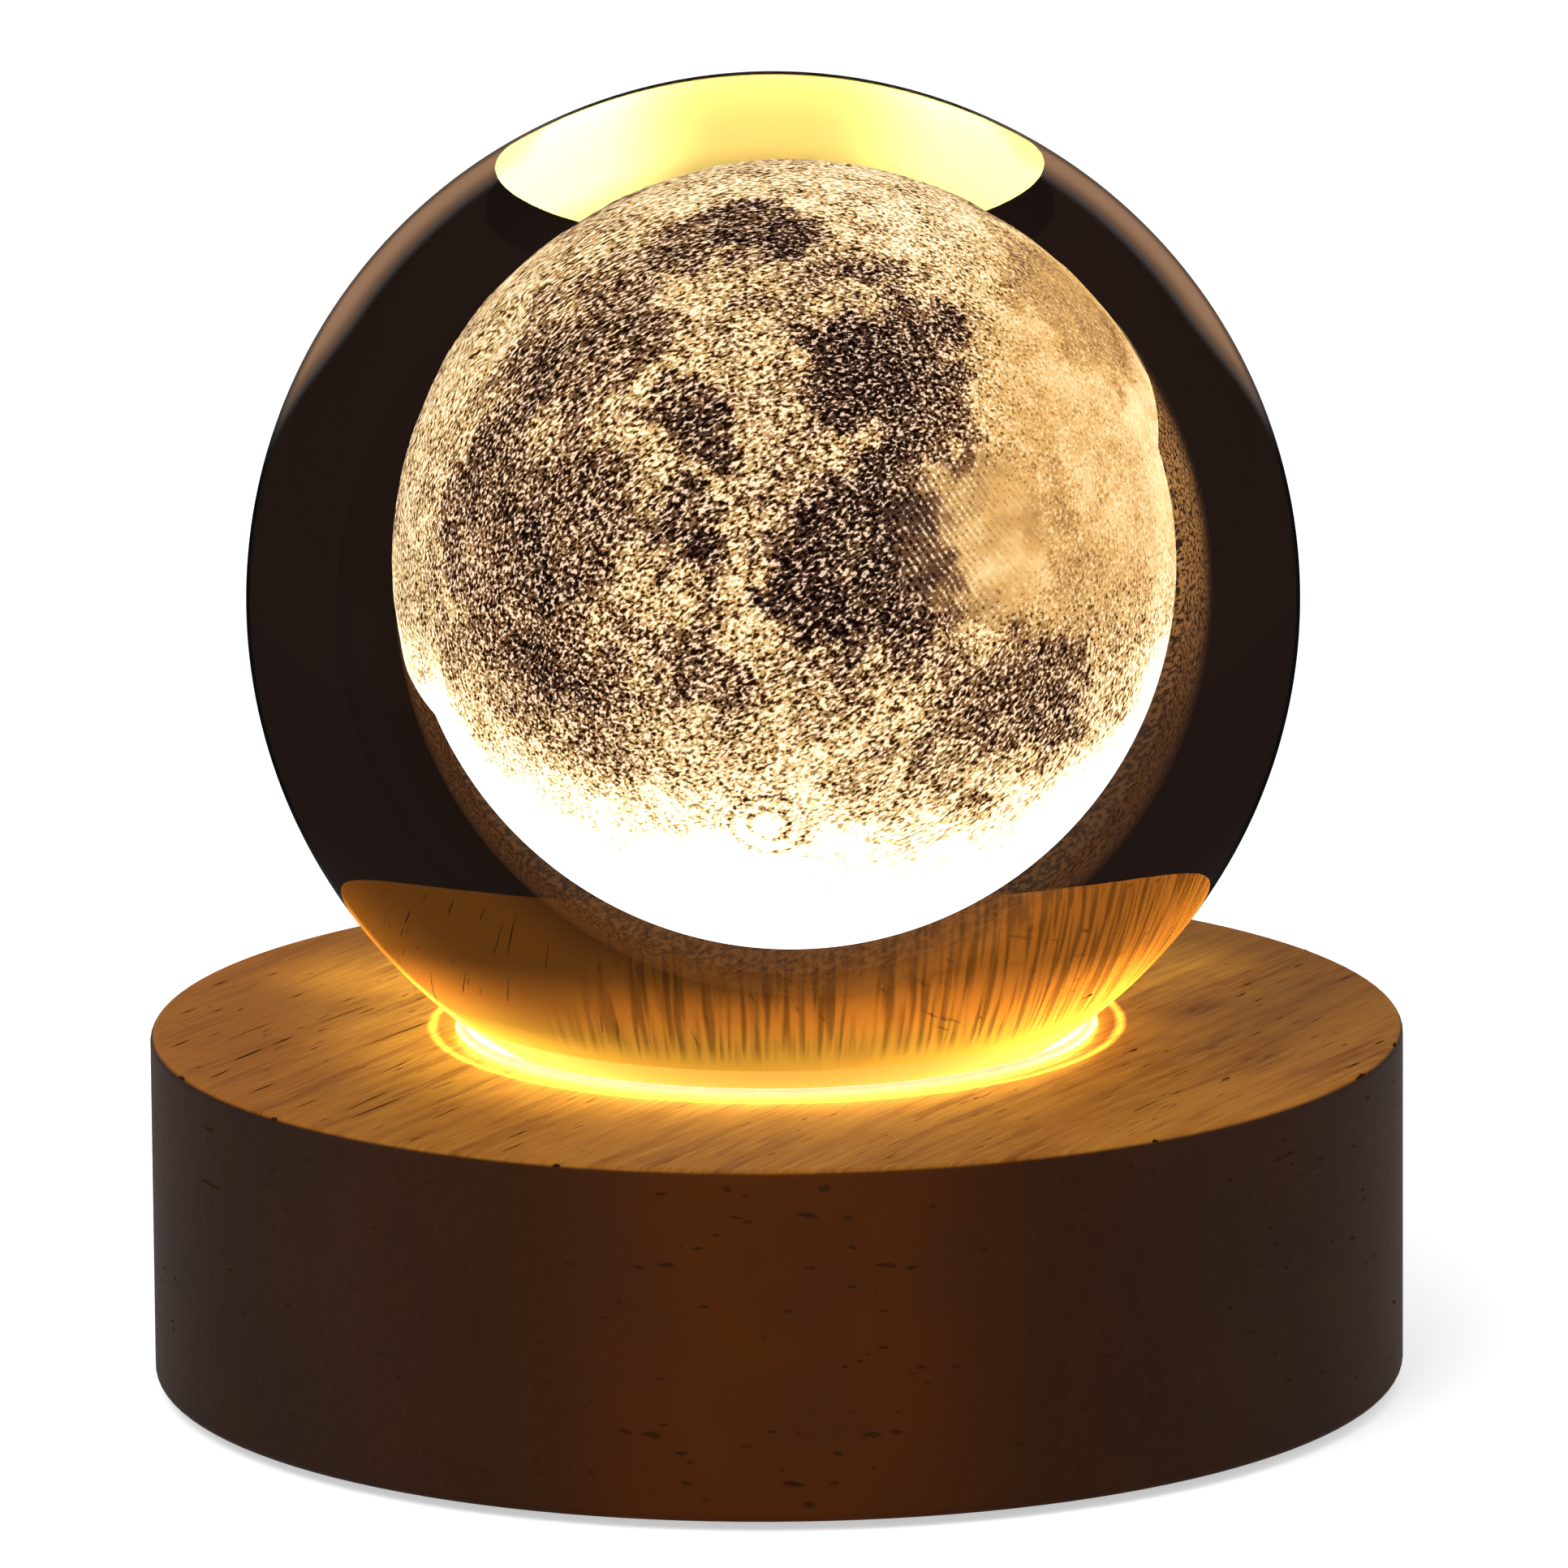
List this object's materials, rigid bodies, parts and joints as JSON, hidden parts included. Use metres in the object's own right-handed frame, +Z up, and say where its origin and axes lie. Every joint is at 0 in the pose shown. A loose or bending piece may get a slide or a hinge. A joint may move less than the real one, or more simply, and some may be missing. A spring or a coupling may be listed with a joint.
{
  "type": "crystal ball lamp",
  "caption": "Clear glass ball with an engraved moon inside, resting on a round wooden base that lights it from below, with an inlet and a push button behind.",
  "frame": {"origin": "on the surface that the lamp stands on, under the axis of the base", "axes": "+Z up along the base's axis, -Y the front, +Y the back with the inlet and the button, +X to the right"},
  "size_m": [0.0716, 0.0716, 0.0754],
  "materials": {
    "crystal": "polished optical glass",
    "engraving": "white points engraved in the glass, lit warm",
    "engraving_shade": "dim points engraved in the glass",
    "clear_silicone": "translucent silicone",
    "cup_plastic": "milky, lit from below",
    "wood": "oiled hardwood with open pores",
    "board_white": "white solder mask",
    "led_package": "moulded package",
    "led_phosphor": "phosphor under clear resin",
    "chip_ceramic": "satin",
    "screw_steel": "plated",
    "lead_red": "soft insulation",
    "lead_black": "soft insulation",
    "board_green": "green solder mask",
    "socket_steel": "bright plated shell",
    "socket_plastic": "moulded",
    "button_plastic": "moulded, softly polished",
    "black_plastic": "fine moulded texture",
    "foot_rubber": "matt"
  },
  "bodies": {
    "base": {"seat_ring": "clear_silicone", "light_cup": "cup_plastic", "wood_base": "wood", "led_board": "board_white", "led_chips": "led_package", "led_phosphors": "led_phosphor", "led_resistors": "chip_ceramic", "led_screws": "screw_steel", "lead_red": "lead_red", "lead_black": "lead_black", "power_board": "board_green", "smd_parts": "chip_ceramic", "board_screws": "screw_steel", "usb_shell": "socket_steel", "usb_tongue": "socket_plastic", "switch_body": "socket_plastic", "port_insert": "black_plastic", "bottom_cover": "black_plastic", "cover_screws": "screw_steel", "rubber_feet": "foot_rubber"},
    "ball": {"crystal_ball": "crystal", "engraved_moon": "engraving", "moon_dark_limb": "engraving_shade"},
    "button": {"push_button": "button_plastic"}
  },
  "joints": [
    {"name": "ball_lift", "type": "slide", "parent": "base", "child": "ball", "axis": [0, 0, 1], "range_m": [0, 0.03]},
    {"name": "button_press", "type": "slide", "parent": "base", "child": "button", "axis": [0, -1, 0], "range_m": [0, 0.0012], "stiffness_N_per_m": 1200}
  ]
}
